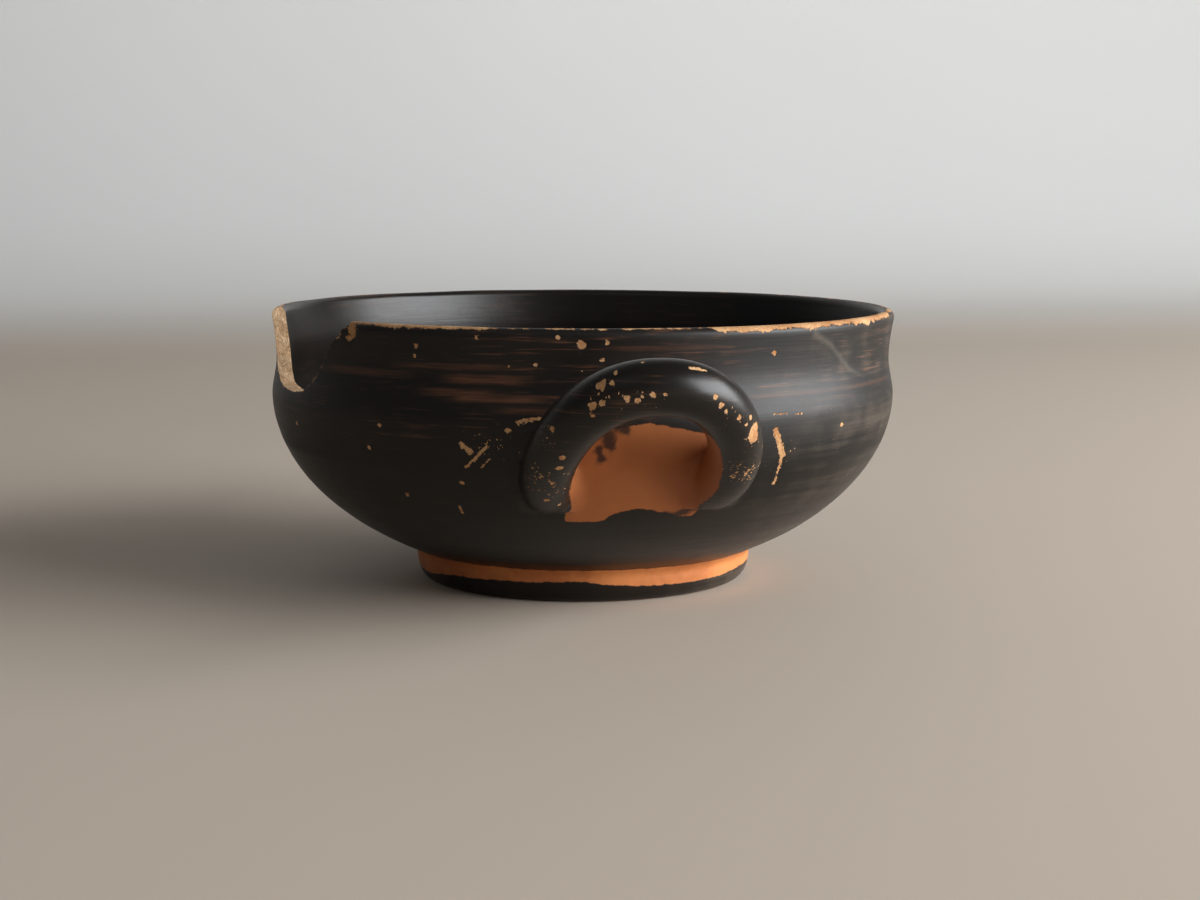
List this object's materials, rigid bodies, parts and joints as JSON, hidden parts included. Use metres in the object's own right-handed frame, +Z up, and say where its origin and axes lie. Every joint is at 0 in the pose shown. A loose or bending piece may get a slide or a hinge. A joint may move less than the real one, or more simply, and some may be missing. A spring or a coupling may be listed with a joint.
{
  "type": "kylix cup",
  "caption": "Shallow two-handled drinking cup on a ring foot, black-glazed fired clay, with a piece of the lip broken away.",
  "frame": {"origin": "middle of the ring foot, on the surface that the cup stands on", "axes": "+Z up through the bowl's middle; the two handles lie along -Y and +Y; the broken lip is towards -X"},
  "size_m": [0.1408, 0.1966, 0.0616],
  "materials": {
    "black_glaze": "thin dark brown-black semi-gloss glaze over orange clay, worn and chipped, with reserved clay between the handle roots and round the foot"
  },
  "bodies": {
    "root": {"cup": "black_glaze"}
  },
  "joints": []
}
